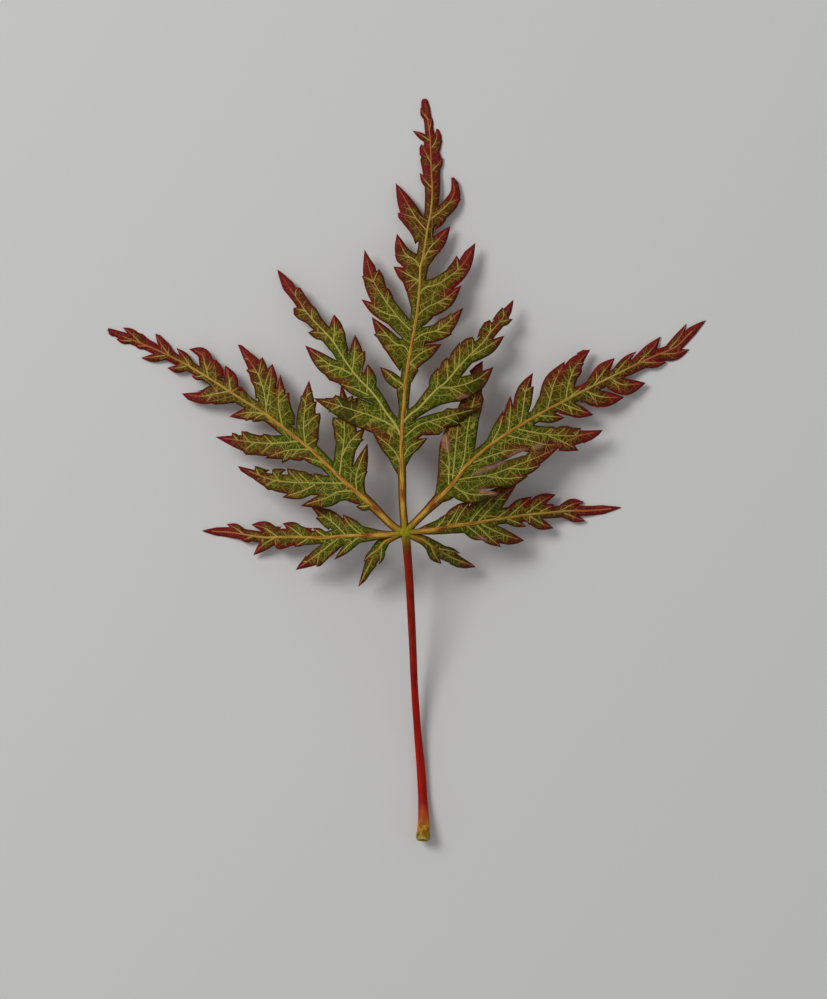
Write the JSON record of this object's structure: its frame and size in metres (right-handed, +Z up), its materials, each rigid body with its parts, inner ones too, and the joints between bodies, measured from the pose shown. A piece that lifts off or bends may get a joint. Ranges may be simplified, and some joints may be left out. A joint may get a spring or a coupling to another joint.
{
  "type": "maple leaf",
  "caption": "Fallen cut-leaf maple leaf with deeply cut, toothed lobes that arch down from a raised heart, and a slender stalk with a swollen foot.",
  "frame": {"origin": "centre of the leaf's plan box, on the surface it rests on", "axes": "+Z up from that surface, +Y from the stalk's foot to the middle lobe's tip, +X to the right seen from above"},
  "size_m": [0.0444, 0.0551, 0.0054],
  "materials": {
    "leaf_blade": "soft satin, olive green turning maroon at the margins",
    "leaf_veins": "soft satin, yellow to tan orange",
    "leaf_stalk": "smooth satin red bark"
  },
  "bodies": {
    "root": {"maple_leaf": "leaf_blade"}
  },
  "joints": []
}
